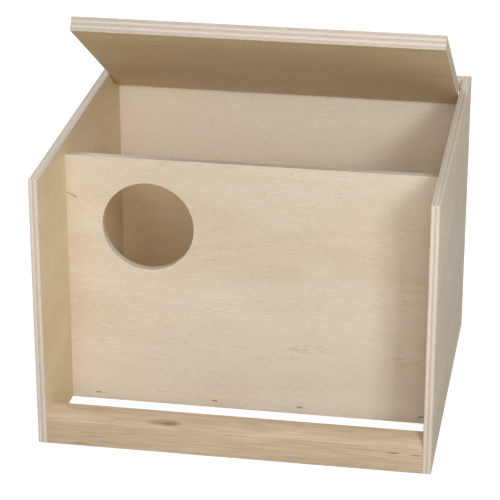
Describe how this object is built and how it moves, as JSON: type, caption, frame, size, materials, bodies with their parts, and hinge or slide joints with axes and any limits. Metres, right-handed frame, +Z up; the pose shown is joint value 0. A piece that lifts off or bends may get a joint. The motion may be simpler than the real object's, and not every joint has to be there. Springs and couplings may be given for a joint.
{
  "type": "nest box",
  "caption": "Plywood nest box with a round entrance, an open-bottomed porch behind a front rail and a lid that swings up on screws in its ends.",
  "frame": {"origin": "centre of the footprint, on the surface the box stands on", "axes": "+X to the box's right seen from the front, +Y to the rear, +Z up"},
  "size_m": [0.4, 0.36, 0.4085],
  "materials": {
    "side_plywood": "sanded, unfinished",
    "panel_plywood": "sanded, unfinished",
    "thick_plywood": "sanded, unfinished",
    "rail_wood": "planed, unfinished",
    "screw_steel": "zinc plated",
    "washer_brass": "plain",
    "staple_steel": "galvanised"
  },
  "bodies": {
    "box": {"left_side": "side_plywood", "right_side": "side_plywood", "front_panel": "panel_plywood", "back_panel": "panel_plywood", "floor_panel": "thick_plywood", "front_rail": "rail_wood", "staples_front": "staple_steel", "staples_back": "staple_steel", "staples_left": "staple_steel", "staples_right": "staple_steel"},
    "lid": {"lid": "thick_plywood", "hinge_screw_left": "screw_steel", "hinge_screw_right": "screw_steel", "hinge_washer_left": "washer_brass", "hinge_washer_right": "washer_brass"}
  },
  "joints": [
    {"name": "lid_hinge", "type": "hinge", "parent": "box", "child": "lid", "pos_m": [0, 0.147, 0.28608], "axis": [-1, 0, 0], "range_deg": [-33, 105]}
  ]
}
